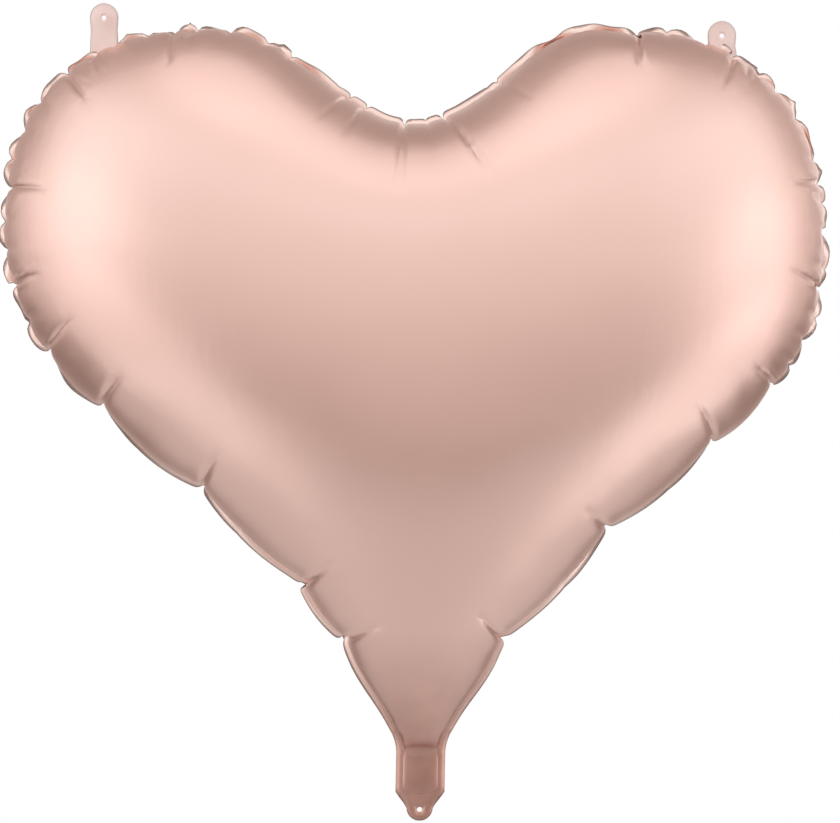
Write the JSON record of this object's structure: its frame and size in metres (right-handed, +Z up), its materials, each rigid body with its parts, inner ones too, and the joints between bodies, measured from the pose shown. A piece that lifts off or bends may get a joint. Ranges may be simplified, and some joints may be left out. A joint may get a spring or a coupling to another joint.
{
  "type": "heart-shaped foil balloon",
  "caption": "Inflated heart-shaped foil balloon in satin rose gold, with a welded seam, a filling tail with a check valve, and punched hanging tabs.",
  "frame": {"origin": "centre of the fold line between the heart's tip and its tail, where a ribbon is tied", "axes": "+X to the viewer's right across the heart, -Y out of the front panel, +Z up through the cleft"},
  "size_m": [0.75, 0.3194, 0.7423],
  "materials": {
    "rose_gold_foil": "satin",
    "pale_tab_foil": "satin",
    "clear_valve_film": "clear"
  },
  "bodies": {
    "envelope": {"front_panel": "rose_gold_foil", "back_panel": "rose_gold_foil"},
    "tail": {"tail_front_film": "rose_gold_foil", "tail_back_film": "rose_gold_foil", "valve_inlet_front": "clear_valve_film", "valve_inlet_back": "clear_valve_film"},
    "valve_front": {"valve_flap_front": "clear_valve_film"},
    "valve_back": {"valve_flap_back": "clear_valve_film"},
    "left_tab": {"left_hanging_tab": "pale_tab_foil"},
    "right_tab": {"right_hanging_tab": "pale_tab_foil"}
  },
  "joints": [
    {"name": "tail_fold", "type": "hinge", "parent": "envelope", "child": "tail", "pos_m": [0, 0, 0], "axis": [1, 0, 0], "range_deg": [-90, 90]},
    {"name": "valve_open", "type": "hinge", "parent": "envelope", "child": "valve_front", "pos_m": [0, 0, 0.003], "axis": [1, 0, 0], "range_deg": [0, 6], "stiffness_Nm_per_rad": 0.001},
    {"name": "valve_open_back", "type": "hinge", "parent": "envelope", "child": "valve_back", "pos_m": [0, 0, 0.003], "axis": [1, 0, 0], "range_deg": [-6, 0], "stiffness_Nm_per_rad": 0.001},
    {"name": "left_tab_fold", "type": "hinge", "parent": "envelope", "child": "left_tab", "pos_m": [-0.28, 0, 0.63111], "axis": [0.9136, 0, 0.4066], "range_deg": [-80, 80], "stiffness_Nm_per_rad": 0.0005},
    {"name": "right_tab_fold", "type": "hinge", "parent": "envelope", "child": "right_tab", "pos_m": [0.281, 0, 0.63066], "axis": [0.9109, 0, -0.4125], "range_deg": [-80, 80], "stiffness_Nm_per_rad": 0.0005}
  ],
  "couplings": [
    {"joint": "valve_open_back", "follows": "valve_open", "ratio": -1}
  ]
}
